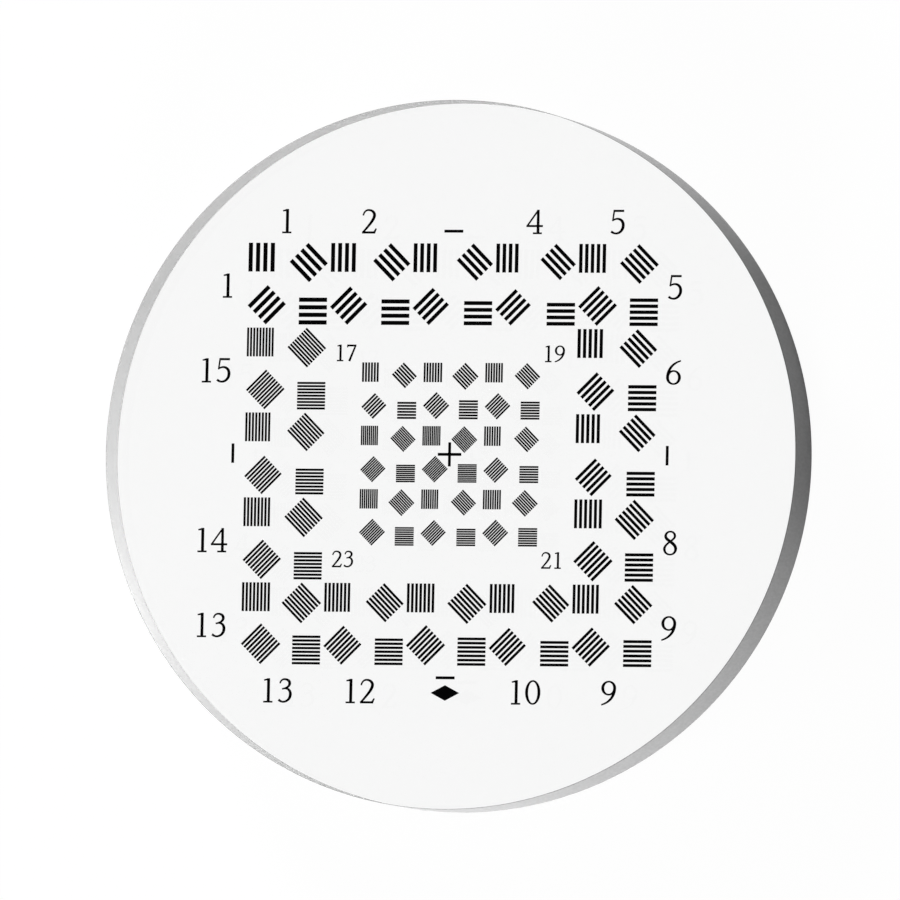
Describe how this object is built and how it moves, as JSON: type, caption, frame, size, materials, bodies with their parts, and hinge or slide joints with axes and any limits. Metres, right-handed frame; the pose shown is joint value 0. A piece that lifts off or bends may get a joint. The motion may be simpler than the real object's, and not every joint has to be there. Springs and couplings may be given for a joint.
{
  "type": "resolution test target",
  "caption": "Round glass optical test plate with numbered groups of fine chrome lines in four directions, for judging how much detail a lens resolves.",
  "frame": {"origin": "centre of the glass blank's back face, which it lies on", "axes": "+Z out of the patterned front face, along the disc's axis; +Y is the pattern's upright direction, away from the orientation diamond; +X to the right of the upright pattern"},
  "size_m": [0.03, 0.03, 0.003],
  "materials": {
    "glass": "clear crown glass, polished faces, finely ground rim with barely broken edges",
    "chrome_film": "thin opaque low-reflection chrome film, nearly black, satin"
  },
  "bodies": {
    "root": {"glass_blank": "glass", "unit_01": "chrome_film", "unit_02": "chrome_film", "unit_03": "chrome_film", "unit_04": "chrome_film", "unit_05": "chrome_film", "unit_06": "chrome_film", "unit_07": "chrome_film", "unit_08": "chrome_film", "unit_09": "chrome_film", "unit_10": "chrome_film", "unit_11": "chrome_film", "unit_12": "chrome_film", "unit_13": "chrome_film", "unit_14": "chrome_film", "unit_15": "chrome_film", "unit_16": "chrome_film", "unit_17": "chrome_film", "unit_18": "chrome_film", "unit_19": "chrome_film", "unit_20": "chrome_film", "unit_21": "chrome_film", "unit_22": "chrome_film", "unit_23": "chrome_film", "unit_24": "chrome_film", "unit_25": "chrome_film", "centre_cross": "chrome_film", "axis_marks": "chrome_film", "orientation_diamond": "chrome_film"}
  },
  "joints": []
}
